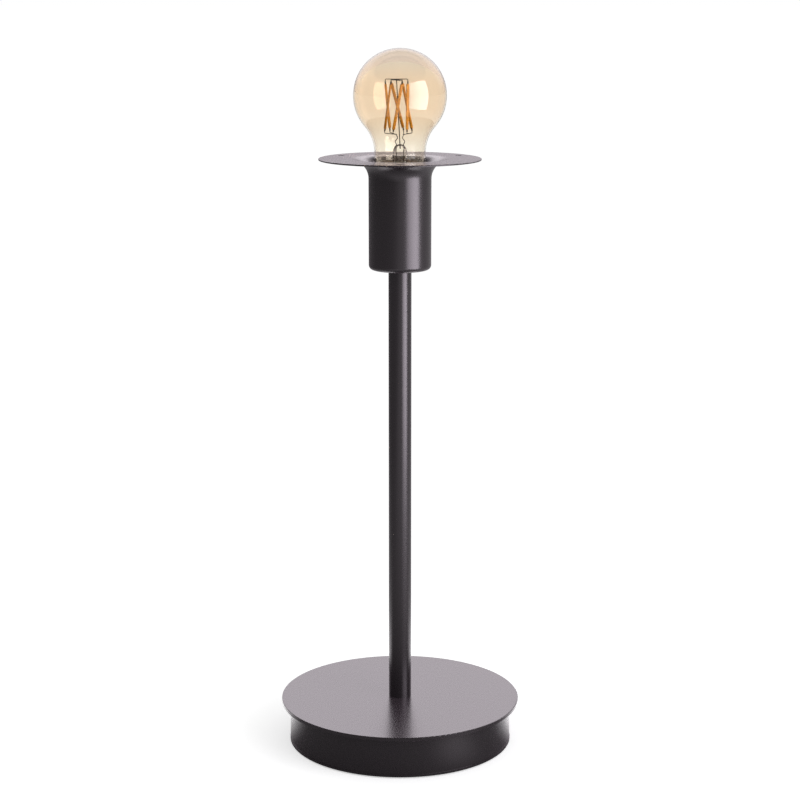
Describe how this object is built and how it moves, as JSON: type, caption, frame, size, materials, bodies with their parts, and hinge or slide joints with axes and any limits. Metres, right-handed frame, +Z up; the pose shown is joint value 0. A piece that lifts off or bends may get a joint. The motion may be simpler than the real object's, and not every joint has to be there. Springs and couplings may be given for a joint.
{
  "type": "bare bulb table lamp",
  "caption": "Bare bulb table lamp: round stepped base, slim straight stem, flanged socket cup and an amber filament bulb that screws out.",
  "frame": {"origin": "on the lamp's axis, on the surface that it stands on, at the bottom centre of its box", "axes": "+Z up along the stem; -Y is the front, with one brim hole in front; the cord entry is at the back, on +Y; +X is to the right seen from the front"},
  "size_m": [0.16, 0.16, 0.4631],
  "materials": {
    "powder_coat": "satin anthracite-black powder coat",
    "zinc_steel": "zinc-plated steel",
    "cast_iron": "dark cast iron, as cast",
    "black_foam": "dense black foam rubber",
    "black_rubber": "moulded black rubber",
    "white_plastic": "moulded white plastic",
    "black_plastic": "moulded black plastic",
    "brown_insulation": "brown lead insulation",
    "blue_insulation": "blue lead insulation",
    "brass": "plain brass",
    "nickel": "thin nickel plate",
    "solder": "dull solder",
    "black_glass": "black glass insulator",
    "board_laminate": "pale board laminate",
    "driver_case": "dark component cases",
    "cage_wire": "oxidised nickel-steel wire",
    "amber_glass": "clear amber-tinted glass",
    "clear_glass": "clear glass",
    "phosphor_silicone": "amber phosphor in silicone"
  },
  "bodies": {
    "lamp": {"foot_ring": "black_foam", "bottom_plate": "powder_coat", "plate_screws": "zinc_steel", "base_weight": "cast_iron", "base_drum": "powder_coat", "base_disc": "powder_coat", "base_washer": "zinc_steel", "base_nut": "zinc_steel", "cord_grommet": "black_rubber", "terminal_block": "white_plastic", "terminal_tubes": "brass", "terminal_screws": "zinc_steel", "block_screw": "zinc_steel", "stem_tube": "powder_coat", "lower_plug": "zinc_steel", "upper_plug": "zinc_steel", "lower_nipple": "zinc_steel", "upper_nipple": "zinc_steel", "live_lead": "brown_insulation", "neutral_lead": "blue_insulation", "socket_cup": "powder_coat", "cup_washer": "zinc_steel", "cup_nut": "zinc_steel", "holder_cap": "black_plastic", "holder_grub_screw": "zinc_steel", "holder_carrier": "white_plastic", "holder_posts": "brass", "holder_post_screws": "zinc_steel", "holder_tongue": "brass", "holder_shell": "nickel", "holder_skirt": "black_plastic"},
    "bulb_contact": {"bulb_tip": "solder"},
    "bulb": {"bulb_insulator": "black_glass", "bulb_cap": "nickel", "driver_board": "board_laminate", "driver_parts": "driver_case", "cap_wires": "cage_wire", "bulb_glass": "amber_glass", "bulb_mount": "clear_glass", "led_filaments": "phosphor_silicone", "filament_clips": "cage_wire", "cage_top_wires": "cage_wire", "cage_lead_wires": "cage_wire"}
  },
  "joints": [
    {"name": "bulb_lift", "type": "slide", "parent": "lamp", "child": "bulb_contact", "axis": [0, 0, 1], "range_m": [0, 0.0091]},
    {"name": "bulb_turn", "type": "hinge", "parent": "bulb_contact", "child": "bulb", "pos_m": [0, 0, 0.3697], "axis": [0, 0, 1], "range_deg": [0, 900]}
  ],
  "couplings": [
    {"joint": "bulb_lift", "follows": "bulb_turn", "m_per_rad": 0.0005775}
  ]
}
